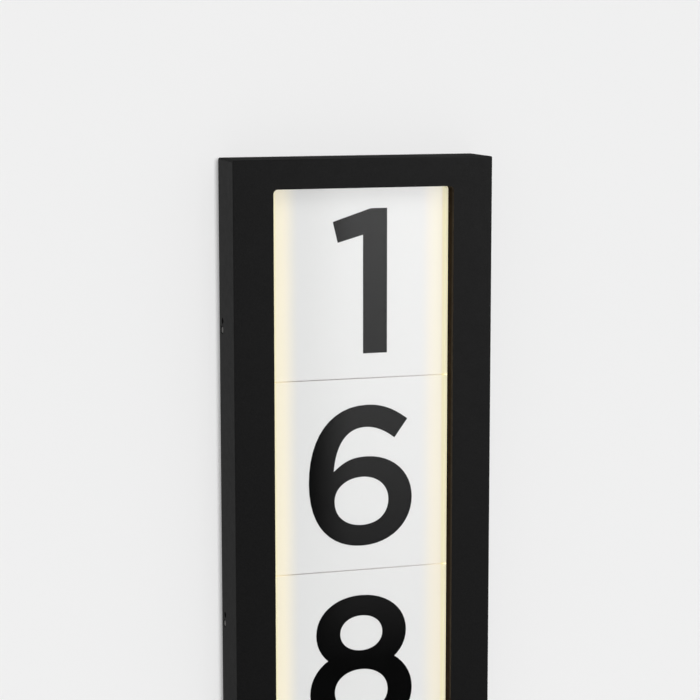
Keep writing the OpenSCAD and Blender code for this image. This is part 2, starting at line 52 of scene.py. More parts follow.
class Surface:
    """A procedural material: a Principled shader and the nodes that drive it."""

    def __init__(self, name, **values):
        self.material = bpy.data.materials.new(name)
        self.material.use_nodes = True
        self.tree = self.material.node_tree
        self.tree.nodes.clear()
        self.out = self.add("ShaderNodeOutputMaterial")
        self.shader = self.add("ShaderNodeBsdfPrincipled")
        self.link(self.shader.outputs[0], self.out.inputs["Surface"])
        for key, value in values.items():
            self.shader.inputs[key.replace("_", " ")].default_value = value
        self.object_space = self.add("ShaderNodeTexCoord").outputs["Object"]

    def add(self, kind, **settings):
        node = self.tree.nodes.new(kind)
        for key, value in settings.items():
            setattr(node, key, value)
        return node

    def link(self, source, target):
        self.tree.links.new(source, target)

    def put(self, value, socket):
        """Links value to the socket if it is another node's output, else sets it."""
        if hasattr(value, "links"):
            self.link(value, socket)
        else:
            socket.default_value = value

    def math(self, operation, a, b=0.0, clamp=False):
        node = self.add("ShaderNodeMath", operation=operation, use_clamp=clamp)
        self.put(a, node.inputs[0])
        self.put(b, node.inputs[1])
        return node.outputs[0]

    def axes(self):
        """Object-space X, Y and Z, in metres."""
        split = self.add("ShaderNodeSeparateXYZ")
        self.link(self.object_space, split.inputs[0])
        return split.outputs

    def step(self, value, low, high, smooth=True):
        """0 where value is below low, 1 above high."""
        node = self.add("ShaderNodeMapRange", interpolation_type="SMOOTHSTEP" if smooth else "LINEAR")
        self.put(value, node.inputs["Value"])
        node.inputs["From Min"].default_value = low
        node.inputs["From Max"].default_value = high
        return node.outputs["Result"]

    def noise(self, size, detail=3.0, roughness=0.6, stretch=(1, 1, 1)):
        """Noise whose features are about size metres across."""
        scale = self.add("ShaderNodeMapping")
        self.link(self.object_space, scale.inputs["Vector"])
        scale.inputs["Scale"].default_value = stretch
        node = self.add("ShaderNodeTexNoise")
        self.link(scale.outputs[0], node.inputs["Vector"])
        node.inputs["Scale"].default_value = 1 / size
        node.inputs["Detail"].default_value = detail
        node.inputs["Roughness"].default_value = roughness
        return node.outputs["Fac"]

    def cells(self, size):
        """Distance to the nearest of many points that lie about size metres apart."""
        node = self.add("ShaderNodeTexVoronoi", feature="F1")
        self.link(self.object_space, node.inputs["Vector"])
        node.inputs["Scale"].default_value = 1 / size
        return node.outputs["Distance"]

    def mix(self, share, a, b):
        """Colour a where share is 0, b where it is 1."""
        node = self.add("ShaderNodeMix", data_type="RGBA")
        self.put(share, node.inputs[0])
        for value, socket in ((a, node.inputs[6]), (b, node.inputs[7])):
            if hasattr(value, "links"):
                self.link(value, socket)
            else:
                socket.default_value = (*value, 1)
        return node.outputs[2]

    def span(self, value, low, high):
        """Maps a 0..1 value onto low..high."""
        node = self.add("ShaderNodeMapRange")
        self.put(value, node.inputs["Value"])
        node.inputs["To Min"].default_value = low
        node.inputs["To Max"].default_value = high
        return node.outputs["Result"]

    def colour(self, value):
        self.put(value, self.shader.inputs["Base Color"])

    def rough(self, low, high, share):
        self.link(self.span(share, low, high), self.shader.inputs["Roughness"])

    def bump(self, height, depth, strength=1.0):
        """Adds relief of the given depth in metres, on top of any earlier relief."""
        node = self.add("ShaderNodeBump")
        node.inputs["Strength"].default_value = strength
        node.inputs["Distance"].default_value = depth
        self.link(height, node.inputs["Height"])
        normal = self.shader.inputs["Normal"]
        if normal.links:
            self.link(normal.links[0].from_socket, node.inputs["Normal"])
        self.link(node.outputs[0], normal)


# The bands, from middle outwards or wall outwards, in which a painted highlight lightens the coat along its
# front corners
HIGHLIGHT_SIDE = (91.1 * MM, 91.75 * MM)
HIGHLIGHT_FRONT = (38.2 * MM, 38.7 * MM)
HIGHLIGHT_END = (219.1 * MM, 219.75 * MM)
COAT_GRAIN = 0.9 * MM
COAT_SPECK = 0.28 * MM


def powder_coat(name, base, light, rough, level=0.5):
    """Fine-textured powder coat, with a painted highlight that makes it a little lighter along the frame's
    front corners, where it is also smoother.
    """
    s = Surface(name)
    s.shader.inputs["Specular IOR Level"].default_value = level
    grain = s.noise(COAT_GRAIN, 2.0, 0.55)
    speck = s.noise(COAT_SPECK, 1.0, 0.5)
    cloud = s.noise(38 * MM, 3.0, 0.6)
    x, y, z = s.axes()
    side = s.step(s.math("ABSOLUTE", x), *HIGHLIGHT_SIDE)
    front = s.step(s.math("MULTIPLY", y, -1.0), *HIGHLIGHT_FRONT)
    end = s.step(s.math("ABSOLUTE", z), *HIGHLIGHT_END)
    edge = s.math("MULTIPLY", s.math("MAXIMUM", side, end), front)
    # painted highlight: the coat's colour is lifted in patches along its front corners
    patchy_highlight = s.math("MULTIPLY", edge, s.span(s.noise(3.2 * MM, 3.0), 0.25, 1.15))
    both = s.math("ADD", s.math("MULTIPLY", grain, 0.5), s.math("MULTIPLY", speck, 0.5))
    fine = s.step(both, 0.32, 0.68)
    tone = s.math("ADD", s.math("MULTIPLY", cloud, 0.25), s.math("MULTIPLY", fine, 0.6))
    s.colour(s.mix(s.math("ADD", tone, s.math("MULTIPLY", patchy_highlight, 0.9), clamp=True), base, light))
    polish = s.math("SUBTRACT", s.noise(6 * MM, 3.0), s.math("MULTIPLY", patchy_highlight, 0.4))
    s.rough(rough[0], rough[1], polish)
    s.bump(grain, 0.11 * MM, 0.8)
    s.bump(speck, 0.03 * MM, 0.6)
    return s.material


def clear_cover():
    """Clear acrylic sheet: see-through, with a mirror sheen that grows towards grazing views."""
    s = Surface("clear_cover")
    s.tree.nodes.remove(s.shader)
    clear = s.add("ShaderNodeBsdfTransparent")
    clear.inputs["Color"].default_value = (0.985, 0.99, 0.988, 1)
    gloss = s.add("ShaderNodeBsdfAnisotropic")
    gloss.inputs["Color"].default_value = (1, 1, 1, 1)
    s.link(s.span(s.noise(45 * MM, 2.0), 0.03, 0.05), gloss.inputs["Roughness"])
    ripple = s.add("ShaderNodeBump")
    ripple.inputs["Strength"].default_value = 0.1
    ripple.inputs["Distance"].default_value = 0.03 * MM
    s.link(s.noise(60 * MM, 1.0), ripple.inputs["Height"])
    s.link(ripple.outputs[0], gloss.inputs["Normal"])
    fresnel = s.add("ShaderNodeFresnel")
    fresnel.inputs["IOR"].default_value = 1.56
    outside = s.math("SUBTRACT", 1.0, s.add("ShaderNodeNewGeometry").outputs["Backfacing"])
    blend = s.add("ShaderNodeMixShader")
    s.link(s.math("MULTIPLY", fresnel.outputs[0], outside), blend.inputs[0])
    s.link(clear.outputs[0], blend.inputs[1])
    s.link(gloss.outputs[0], blend.inputs[2])
    s.link(blend.outputs[0], s.out.inputs["Surface"])
    return s.material


# Where the edge glow starts and is full, as distances from the glow's middle line
GLOW_MIDDLE = 1.0 * MM
GLOW_TINT = (42.5 * MM, 58 * MM)
GLOW_LIGHT = (43.5 * MM, 56.5 * MM)
GLOW_CORE = (59.2 * MM, 60.6 * MM)
RIM_SHADOW_FILL = (62.3 * MM, 64.4 * MM)  # from X = 0; painted light that fills the frame's shadow on the tile's outer edges
GLOW_FADE = (178 * MM, 203 * MM)  # the glow weakens a little towards the top and bottom of the stack
GLOW_UNEVEN = 1.6 * MM


def opal_tile():
    """White acrylic tile whose warm glow along both long edges is drawn as emission and warm colour, with a
    faint painted glow over the face that brightens to the right, and painted light that fills the frame's
    shadow along the outer edges.
    """
    s = Surface("opal_tile", Roughness=0.3)
    x, _, z = s.axes()
    aside = s.math("ABSOLUTE", s.math("SUBTRACT", x, GLOW_MIDDLE))
    uneven = s.math("MULTIPLY", s.math("SUBTRACT", s.noise(24 * MM, 2.0), 0.5), GLOW_UNEVEN)
    reach = s.math("ADD", aside, uneven)
    ends = s.step(s.math("ABSOLUTE", z), *GLOW_FADE)
    even = s.math("SUBTRACT", 1.0, s.math("MULTIPLY", ends, 0.12))
    tint = s.math("MULTIPLY", s.step(reach, *GLOW_TINT), even)
    halo = s.math("MULTIPLY", s.step(reach, *GLOW_LIGHT), even)
    core = s.step(aside, *GLOW_CORE)
    # painted light along the outer edges, filling in the shadow that the frame casts there
    rim_fill = s.step(s.math("ABSOLUTE", x), *RIM_SHADOW_FILL)
    cloud = s.noise(55 * MM, 2.0)
    plain = s.mix(cloud, (0.862, 0.860, 0.860), (0.868, 0.866, 0.866))
    warm = s.mix(core, (0.88, 0.80, 0.63), (0.88, 0.79, 0.55))
    s.colour(s.mix(tint, plain, warm))
    # painted light: a faint glow over the whole face, stronger to the right where more light falls
    brighter_rightwards = s.step(x, -60 * MM, 60 * MM, False)
    painted_face_glow = s.mix(brighter_rightwards, (0.075, 0.060, 0.060), (0.205, 0.178, 0.178))
    lit = s.mix(core, s.mix(brighter_rightwards, (0.47, 0.44, 0.37), (0.41, 0.40, 0.42)), (0.476, 0.47, 0.31))
    lit_with_rim_fill = s.mix(rim_fill, lit, (1.5, 1.38, 1.0))
    s.put(s.mix(halo, painted_face_glow, lit_with_rim_fill), s.shader.inputs["Emission Color"])
    s.shader.inputs["Emission Strength"].default_value = 0.5
    s.rough(0.26, 0.34, s.noise(14 * MM, 3.0))
    s.bump(s.noise(1.5 * MM, 2.0), 0.008 * MM, 0.3)
    return s.material


def metal(name, base, light, rough, brushed=None, grain=0.5 * MM):
    """Bare metal; if brushed is "z", fine lines run up it."""
    s = Surface(name, Metallic=1.0)
    stretch = (1, 1, 0.02) if brushed == "z" else (1, 1, 1)
    lines = s.noise(grain, 4.0, 0.65, stretch)
    cloud = s.noise(12 * MM, 3.0)
    tone = s.math("ADD", s.math("MULTIPLY", lines, 0.6), s.math("MULTIPLY", cloud, 0.4))
    s.colour(s.mix(tone, base, light))
    s.rough(rough[0], rough[1], tone)
    s.bump(lines, 0.02 * MM, 0.6)
    return s.material


def moulded(name, base, light, rough, grain=0.35 * MM):
    """Moulded plastic, rubber or paint with a fine skin."""
    s = Surface(name)
    skin = s.noise(grain, 2.0, 0.6)
    cloud = s.noise(9 * MM, 3.0)
    tone = s.math("ADD", s.math("MULTIPLY", skin, 0.35), s.math("MULTIPLY", cloud, 0.65))
    s.colour(s.mix(tone, base, light))
    s.rough(rough[0], rough[1], cloud)
    s.bump(skin, 0.03 * MM, 0.6)
    return s.material


def foam():
    """Black closed-cell foam with small pores."""
    s = Surface("foam", Roughness=0.9)
    pores = s.cells(0.5 * MM)
    s.colour(s.mix(pores, (0.010, 0.010, 0.011), (0.045, 0.045, 0.047)))
    s.rough(0.82, 0.97, s.noise(4 * MM, 2.0))
    s.bump(pores, 0.2 * MM, 0.8)
    return s.material


def numeral_black():
    """Matt black film."""
    s = Surface("numeral_black", Specular_IOR_Level=0.05)
    film = s.noise(1.6 * MM, 2.0)
    cloud = s.noise(30 * MM, 2.0)
    s.colour(s.mix(cloud, (0.0015, 0.0015, 0.0016), (0.0030, 0.0030, 0.0031)))
    s.rough(0.5, 0.62, cloud)
    s.bump(film, 0.02 * MM, 0.4)
    return s.material


def phosphor():
    """Yellow phosphor that shines warm white."""
    s = Surface("led_phosphor", Roughness=0.5)
    grain = s.noise(0.25 * MM, 2.0)
    s.colour(s.mix(grain, (0.85, 0.66, 0.18), (0.95, 0.80, 0.35)))
    s.put(s.mix(grain, (1.0, 0.78, 0.40), (1.0, 0.85, 0.52)), s.shader.inputs["Emission Color"])
    s.shader.inputs["Emission Strength"].default_value = 2.4
    s.bump(grain, 0.04 * MM, 0.6)
    return s.material


TRACK_PITCH = 16.5 * MM


def solder_mask():
    """White circuit board with faint tracks beneath its mask."""
    s = Surface("board_white", Roughness=0.4)
    turns = s.math("MULTIPLY", s.axes()["Z"], 2 * math.pi / TRACK_PITCH)
    track = s.step(s.math("SINE", turns), 0.2, 0.5)
    grain = s.noise(0.4 * MM, 2.0)
    s.colour(s.mix(s.math("MULTIPLY", track, 0.5), (0.78, 0.78, 0.74), (0.66, 0.67, 0.62)))
    s.rough(0.32, 0.5, grain)
    s.bump(track, 0.03 * MM, 0.5)
    s.bump(grain, 0.01 * MM, 0.4)
    return s.material


# Each line of a table: its slot's name, its darker and lighter colour, and its range of roughness
METALS = (
    ("mill_aluminium", (0.50, 0.51, 0.52), (0.72, 0.73, 0.74), (0.28, 0.46), "z", 0.35 * MM),
    ("zinc_fasteners", (0.42, 0.43, 0.45), (0.66, 0.66, 0.65), (0.3, 0.5)),
    ("side_screw_steel", (0.22, 0.215, 0.21), (0.46, 0.45, 0.44), (0.34, 0.55)),
    ("brass", (0.55, 0.40, 0.15), (0.80, 0.62, 0.30), (0.25, 0.42), "z"),
    ("earth_green", (0.05, 0.20, 0.07), (0.12, 0.36, 0.14), (0.3, 0.5)),
)
MOULDED = (
    ("grommet_rubber", (0.011, 0.011, 0.011), (0.026, 0.026, 0.027), (0.6, 0.8)),
    ("driver_case", (0.60, 0.61, 0.61), (0.72, 0.72, 0.71), (0.4, 0.55)),
    ("terminal_plastic", (0.66, 0.62, 0.52), (0.76, 0.72, 0.62), (0.35, 0.5)),
    ("reflector_white", (0.80, 0.80, 0.79), (0.87, 0.87, 0.86), (0.55, 0.75), 1.2 * MM),
    ("nylon", (0.68, 0.68, 0.64), (0.80, 0.79, 0.75), (0.35, 0.55)),
    ("wire_black", (0.012, 0.012, 0.012), (0.028, 0.028, 0.028), (0.3, 0.5)),
    ("wire_white", (0.66, 0.66, 0.64), (0.78, 0.78, 0.76), (0.3, 0.5)),
    ("wire_green", (0.02, 0.15, 0.035), (0.05, 0.25, 0.07), (0.3, 0.5)),
)
POWDER_COATS = (
    ("black_powder_coat", (0.0004, 0.0004, 0.0005), (0.0056, 0.0056, 0.0058), (0.5, 0.62), 0.32),
    ("pan_coat", (0.034, 0.035, 0.037), (0.066, 0.068, 0.071), (0.5, 0.66)),
)
MATERIALS = {
    "clear_cover": clear_cover(),
    "foam": foam(),
    "board_white": solder_mask(),
    "led_phosphor": phosphor(),
    "opal_tile": opal_tile(),
    "numeral_black": numeral_black(),
}
for make, table in ((metal, METALS), (moulded, MOULDED), (powder_coat, POWDER_COATS)):
    MATERIALS.update({row[0]: make(*row) for row in table})

for obj in nodes.values():
    slot_name = obj.data.materials[0].name.split(".")[0]
    obj.data.materials.clear()
    obj.data.materials.append(MATERIALS[slot_name])

# Where painted light makes the window's inner faces lighter: Y at the start and end of each change
REVEAL_LIP_HIGHLIGHT = (-33.5 * MM, -37.5 * MM)
REVEAL_TILE_GLOW = (-28 * MM, -30.5 * MM)


def painted_reveal():
    """Darker, dead matt copy of the frame's coat for the window's inner faces: painted shade next to the
    tile, a painted brown glow of the tile's light further out, and a painted highlight along the front lip.
    """
    s = Surface("painted_reveal_coat", Specular_IOR_Level=0.06)
    grain = s.noise(COAT_GRAIN, 2.0, 0.55)
    y = s.axes()["Y"]
    # painted highlight on the front lip; painted warm tile light and painted shade further in
    lip_highlight = s.step(y, *REVEAL_LIP_HIGHLIGHT)
    tile_glow_tint = s.mix(grain, (0.026, 0.0140, 0.0045), (0.042, 0.0240, 0.0085))
    shade_then_glow = s.mix(s.step(y, *REVEAL_TILE_GLOW), (0.002, 0.0015, 0.001), tile_glow_tint)
    s.colour(s.mix(lip_highlight, shade_then_glow, (0.075, 0.058, 0.040)))
    s.rough(0.85, 1.0, grain)
    s.bump(grain, 0.05 * MM, 0.55)
    return s.material


GASKET_OVERLAP = 1.9 * MM
_, gasket_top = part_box("lens_gasket")
reveal_x, reveal_z = gasket_top.x - GASKET_OVERLAP, gasket_top.z - GASKET_OVERLAP
# the window's inner faces get this shaded copy of the coat, with its painted light
frame_mesh = nodes["front_frame"].data
frame_mesh.materials.append(painted_reveal())
for face in frame_mesh.polygons:
    c = face.center
    if abs(c.x) < reveal_x and abs(c.z) < reveal_z and abs(face.normal.y) < 0.5:
        face.material_index = 1

# ---------------------------------------------------------------- softened edges of the CAD nodes

# Width of the rounded edge of each node, in millimetres
EDGES = {
    "front_frame": 0.22, "back_pan": 0.2, "led_driver": 0.35, "terminal_block": 0.3,
    "lens_retainer_top": 0.2, "lens_retainer_bottom": 0.2, "inlet_grommet": 0.15,
    "tile_shelf": 0.15, "led_rail_left": 0.12, "led_rail_right": 0.12, "lead_saddles": 0.25,
    "reflector_supports": 0.15, "back_reflector": 0.1, "front_lens": 0.15, "earth_screw": 0.12,
    "driver_screws": 0.1, "rail_screws": 0.1, "shelf_screws": 0.1, "retainer_screws": 0.1,
    "terminal_screws": 0.1, "led_board_left": 0.1, "led_board_right": 0.1,
    "tile_top": 0.12, "tile_middle": 0.12, "tile_bottom": 0.12,
    "numeral_one": 0.05, "numeral_six": 0.05, "numeral_eight": 0.05,
    "wall_gasket": 0.25, "lens_gasket": 0.2,
    "clamp_nut_left_upper": 0.25, "clamp_nut_left_lower": 0.25,
    "clamp_nut_right_upper": 0.25, "clamp_nut_right_lower": 0.25,
}


def join_faces(obj):
    """Shades a CAD node smoothly and joins its triangles into flat faces, with modifiers alone."""
    for face in obj.data.polygons:
        face.use_smooth = True
    weld = obj.modifiers.new("weld", "WELD")
    weld.merge_threshold = 0.0005 * MM
    flat = obj.modifiers.new("flat", "DECIMATE")
    flat.decimate_type = "DISSOLVE"
    flat.angle_limit = math.radians(0.5)


def soften(obj, width):
    """Rounds the sharp edges of a CAD node by width millimetres, with modifiers alone."""
    join_faces(obj)
    edge = obj.modifiers.new("edge", "BEVEL")
    edge.width = width * MM
    edge.segments = 2
    edge.limit_method = "ANGLE"
    edge.angle_limit = math.radians(38)
    edge.miter_outer = "MITER_ARC"
    even = obj.modifiers.new("even", "WEIGHTED_NORMAL")
    even.keep_sharp = True


for name, width in EDGES.items():
    soften(nodes[name], width)
for name in ("line_wire", "neutral_wire", "earth_wire", "dc_lead_left", "dc_lead_right"):
    join_faces(nodes[name])
    skin = nodes[name].modifiers.new("round", "SUBSURF")
    skin.levels = skin.render_levels = 2

# ---------------------------------------------------------------- detailed pieces


def put_in_scene(name, mesh, body, slot_name, materials=()):
    """Adds a finished mesh as a piece that rides on a body."""
    obj = bpy.data.objects.new(name, mesh)
    scene.collection.objects.link(obj)
    mesh.materials.append(MATERIALS[slot_name])
    for extra in materials:
        mesh.materials.append(extra)
    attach(obj, body)
    return obj


def mesh_of(name, bm, sharp=35):
    """Turns a bmesh into a mesh with smooth faces and sharp creases."""
    bmesh.ops.recalc_face_normals(bm, faces=bm.faces)
    for face in bm.faces:
        face.smooth = True
    for edge in bm.edges:
        if len(edge.link_faces) == 2 and edge.calc_face_angle(0) > math.radians(sharp):
            edge.smooth = False
    mesh = bpy.data.meshes.new(name)
    bm.to_mesh(mesh)
    bm.free()
    return mesh


def turned(bm, rings, matrix, sides=40, material=0):
    """Adds a turned solid. Each ring is (distance along local Z, radius or function of the angle)."""
    rows, faces = [], []
    for along, radius in rings:
        row = []
        for k in range(sides):
            angle = 2 * math.pi * k / sides
            r = radius(angle) if callable(radius) else radius
            row.append(bm.verts.new(matrix @ Vector((r * math.cos(angle), r * math.sin(angle), along))))
        rows.append(row)
    for a, b in zip(rows, rows[1:]):
        for k in range(sides):
            j = (k + 1) % sides
            faces.append(bm.faces.new((a[k], a[j], b[j], b[k])))
    faces += [bm.faces.new(rows[0][::-1]), bm.faces.new(rows[-1])]
    for face in faces:
        face.material_index = material


def plain_box(bm, lo, hi):
    """Adds a sharp box between two corners; returns its vertices and its faces."""
    made = bmesh.ops.create_cube(bm, size=1.0)["verts"]
    lo, hi = Vector(lo), Vector(hi)
    for v in made:
        v.co = Vector([(lo[i] + hi[i]) / 2 + v.co[i] * (hi[i] - lo[i]) for i in range(3)])
    return made, {f for v in made for f in v.link_faces}


def block(bm, lo, hi, edge, material):
    """Adds a box between two corners, with rounded edges of the given width."""
    made, faces = plain_box(bm, lo, hi)
    edges = {e for v in made for e in v.link_edges}
    done = bmesh.ops.bevel(bm, geom=list(edges), offset=edge, segments=2, affect="EDGES", profile=0.5)
    for f in {f for f in faces if f.is_valid} | set(done["faces"]):
        f.material_index = material


def facing(point, direction):
    """Matrix that puts local Z along a direction, at a point."""
    return Matrix.Translation(Vector(point)) @ Vector(direction).to_track_quat("Z", "Y").to_matrix().to_4x4()


def settle(obj):
    """Applies an object's modifiers to its mesh."""
    bpy.context.view_layer.update()
    graph = bpy.context.evaluated_depsgraph_get()
    mesh = bpy.data.meshes.new_from_object(obj.evaluated_get(graph), depsgraph=graph)
    obj.modifiers.clear()
    obj.data = mesh


# Side screws: a cheese head with a coned underside and a cross recess, and a cut thread
THREAD_PITCH = 0.5 * MM
THREAD_CORE = 1.21 * MM
THREAD_CREST = 1.49 * MM
THREAD_RINGS = 9  # rings of vertices per turn
THREAD_FLANK = 2.6  # how steeply the thread rises, and how wide its flat root is
THREAD_ROOT = 0.15
TIP_START, TIP_END, TIP_RADIUS = 0.55 * MM, 0.3 * MM, 0.85 * MM
HEAD_TALL = 0.96 * MM
HEAD_CURVE = ((0.0, 0.36), (0.03, 0.22), (0.12, 0.07), (0.27, 0.0))  # mm: depth, distance inside the rim
RECESS_ARM, RECESS_THICK = 0.62, 0.17  # shares of the head's radius
RECESS_DEEP, RECESS_ABOVE = 1.1 * MM, 0.2 * MM
RECESS_TURN = 20  # degrees, so that the crosses don't stand upright


def thread_radius(along):
    """The thread's radius at each angle, a distance along the screw."""
    def radius(angle):
        t = (along / THREAD_PITCH - angle / (2 * math.pi)) % 1.0
        rise = min(1.0, max(0.0, (0.5 - abs(t - 0.5)) * THREAD_FLANK - THREAD_ROOT))
        return THREAD_CORE + (THREAD_CREST - THREAD_CORE) * rise

    return radius


def side_screw(name, node, body):
    """A detailed screw in the place of a CAD node."""
    lo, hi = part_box(node)
    side = 1 if lo.x > 0 else -1
    head = max(abs(lo.x), abs(hi.x))
    length = hi.x - lo.x
    centre = Vector((side * head, (lo.y + hi.y) / 2, (lo.z + hi.z) / 2))
    head_r = (hi.z - lo.z) / 2
    cone = HEAD_TALL + head_r - THREAD_CREST
    inward = facing(centre, (-side, 0, 0))
    bm = bmesh.new()
    rings = [(deep * MM, head_r - inside * MM) for deep, inside in HEAD_CURVE]
    rings += [(HEAD_TALL, head_r), (cone, THREAD_CREST), (cone + 0.05 * MM, THREAD_CORE)]
    start, end = cone + 0.08 * MM, length - TIP_START
    steps = int((end - start) / THREAD_PITCH * THREAD_RINGS)
    places = [start + (end - start) * i / steps for i in range(steps + 1)]
    rings += [(along, thread_radius(along)) for along in places]
    rings += [(length - TIP_END, THREAD_CORE - 0.02 * MM), (length, TIP_RADIUS)]
    turned(bm, rings, inward)
    screw = put_in_scene(name, mesh_of(name, bm, 30), body, "side_screw_steel")
    cutter_bm = bmesh.new()
    arm, thick = RECESS_ARM * head_r, RECESS_THICK * head_r
    for turn in (0, 90):
        spin = inward @ Matrix.Rotation(math.radians(turn + RECESS_TURN * side), 4, "Z")
        for v in bmesh.ops.create_cube(cutter_bm, size=1.0)["verts"]:
            far = v.co.z > 0
            x = v.co.x * 2 * arm * (0.45 if far else 1.0)
            y = v.co.y * 2 * thick * (0.6 if far else 1.0)
            v.co = spin @ Vector((x, y, RECESS_DEEP if far else -RECESS_ABOVE))
    cutter = bpy.data.objects.new("cutter", mesh_of("cutter", cutter_bm))
    scene.collection.objects.link(cutter)
    cut = screw.modifiers.new("recess", "BOOLEAN")
    cut.operation = "DIFFERENCE"
    cut.solver = "EXACT"
    cut.use_self = True
    cut.object = cutter
    settle(screw)
    bpy.data.objects.remove(cutter)
    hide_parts(node)


for corner in ("left_upper", "left_lower", "right_upper", "right_lower"):
    side_screw("threaded_screw_" + corner, "side_screw_" + corner, "screw_" + corner)

# Light packages: white housings with a sunken window of phosphor and tinned ends
CHIP_COUNT = 24
CHIP_TALL = 3.5 * MM
CHIP_END = 0.35 * MM  # height of a tinned end
WINDOW_RIM, WINDOW_SLOPE, WINDOW_SUNK = 0.32 * MM, 0.1 * MM, 0.18 * MM
tin = MATERIALS["zinc_fasteners"]


def chip_pitch(lo, hi):
    """Distance from one light package to the next, between a row's lowest and highest points."""
    return (hi.z - lo.z - CHIP_TALL) / (CHIP_COUNT - 1)


def light_packages(side):
    """The row of light packages on one board, in the place of its CAD node."""
    node = "led_chips_" + side
    lo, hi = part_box(node)
    way = 1 if lo.x > 0 else -1
    bm = bmesh.new()
    for i in range(CHIP_COUNT):
        z0 = lo.z + i * chip_pitch(lo, hi)
        low, high = (lo.x, lo.y, z0 + CHIP_END), (hi.x, hi.y, z0 + CHIP_TALL - CHIP_END)
        _, faces = plain_box(bm, low, high)
        for f in faces:
            f.normal_update()
            f.material_index = 1
        window = next(f for f in faces if f.normal.x * -way > 0.9)
        bmesh.ops.inset_region(bm, faces=[window], thickness=WINDOW_RIM)
        bmesh.ops.inset_region(bm, faces=[window], thickness=WINDOW_SLOPE, depth=-WINDOW_SUNK)
        window.material_index = 0
        for z_lo in (z0, z0 + CHIP_TALL - CHIP_END):
            low = (lo.x + 0.12 * MM, lo.y + 0.2 * MM, z_lo)
            high = (hi.x - 0.02 * MM, hi.y - 0.2 * MM, z_lo + CHIP_END)
            block(bm, low, high, 0.05 * MM, 2)
    piece = put_in_scene("light_packages_" + side, mesh_of(node, bm, 25), "wall_unit", "led_phosphor",
                         (MATERIALS["board_white"], tin))
    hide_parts(node)


# Board parts, between two light packages: a resistor with tinned ends, or a solder joint
PART_TALL = 0.4 * MM
PART_EDGE = 0.06 * MM
JOINT_RINGS = ((0.0, 0.55 * MM), (0.03 * MM, 0.5 * MM), (0.05 * MM, 0.3 * MM))


def board_parts(side):
    """A resistor after every third light package, and a solder joint after each of the others."""
    lo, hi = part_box("led_board_" + side)
    chips_lo, chips_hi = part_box("led_chips_" + side)
    face_x = lo.x if lo.x > 0 else hi.x
    way = -1 if lo.x > 0 else 1
    mid_y = (lo.y + hi.y) / 2
    x0, x1 = sorted((face_x, face_x + way * PART_TALL))
    end_x1 = x1 - 0.02 * MM if way < 0 else x1
    bm = bmesh.new()
    for i in range(CHIP_COUNT - 1):
        z = chips_lo.z + CHIP_TALL / 2 + (i + 0.5) * chip_pitch(chips_lo, chips_hi)
        if i % 3 == 0:
            low = (x0, mid_y - 0.45 * MM, z - 0.6 * MM)
            block(bm, low, (x1, mid_y + 0.45 * MM, z + 0.6 * MM), PART_EDGE, 0)
            for z_end in (z - 0.75 * MM, z + 0.75 * MM):
                low = (x0, mid_y - 0.47 * MM, z_end - 0.2 * MM)
                block(bm, low, (end_x1, mid_y + 0.47 * MM, z_end + 0.2 * MM), PART_EDGE, 1)
        else:
            turned(bm, JOINT_RINGS, facing((face_x, mid_y, z), (way, 0, 0)), 16, 1)
    name = "board_parts_" + side
    put_in_scene(name, mesh_of(name, bm, 25), "wall_unit", "wire_black", (tin,))


for side in ("left", "right"):
    light_packages(side)
    board_parts(side)

# ---------------------------------------------------------------- stage, lights and camera


def plain(name, diffuse, glow):
    """One-sided matte stage surface; glow lifts its shadows."""
    m = bpy.data.materials.new(name)
    m.use_nodes = True
    t = m.node_tree
    t.nodes.clear()
    out = t.nodes.new("ShaderNodeOutputMaterial")
    matte = t.nodes.new("ShaderNodeBsdfDiffuse")
    matte.inputs["Color"].default_value = (diffuse, diffuse, diffuse, 1)
    light = t.nodes.new("ShaderNodeEmission")
    light.inputs["Color"].default_value = (1, 1, 1, 1)
    light.inputs["Strength"].default_value = glow
    both = t.nodes.new("ShaderNodeAddShader")
    clear = t.nodes.new("ShaderNodeBsdfTransparent")
    pick = t.nodes.new("ShaderNodeMixShader")
    geometry = t.nodes.new("ShaderNodeNewGeometry")
    t.links.new(matte.outputs[0], both.inputs[0])
    t.links.new(light.outputs[0], both.inputs[1])
    t.links.new(geometry.outputs["Backfacing"], pick.inputs[0])
    t.links.new(both.outputs[0], pick.inputs[1])
    t.links.new(clear.outputs[0], pick.inputs[2])
    t.links.new(pick.outputs[0], out.inputs["Surface"])
    return m


def sheet(name, corners, material):
    """A flat stage piece that only the camera sees."""
    mesh = bpy.data.meshes.new(name)
    mesh.from_pydata([Vector(c) for c in corners], [], [range(len(corners))])
    obj = bpy.data.objects.new(name, mesh)
    mesh.materials.append(material)
    scene.collection.objects.link(obj)
    for ray in ("visible_diffuse", "visible_glossy", "visible_transmission", "visible_shadow"):
        setattr(obj, ray, False)
    return obj


WALL_Y = 0.0006
WALL_HALF, WALL_TOP = 6, 5
FLOOR_Z = -1.2
FLOOR_HALF = 30
sheet("wall", [(x, WALL_Y, z) for x, z in (
    (-WALL_HALF, FLOOR_Z), (WALL_HALF, FLOOR_Z), (WALL_HALF, WALL_TOP), (-WALL_HALF, WALL_TOP),
)], plain("wall_paint", 0.66, 0.245))
sheet("floor", [(x * FLOOR_HALF, y * FLOOR_HALF, FLOOR_Z) for x, y in (
    (-1, -1), (1, -1), (1, 1), (-1, 1),
)], plain("floor_paint", 0.5, 0.48))

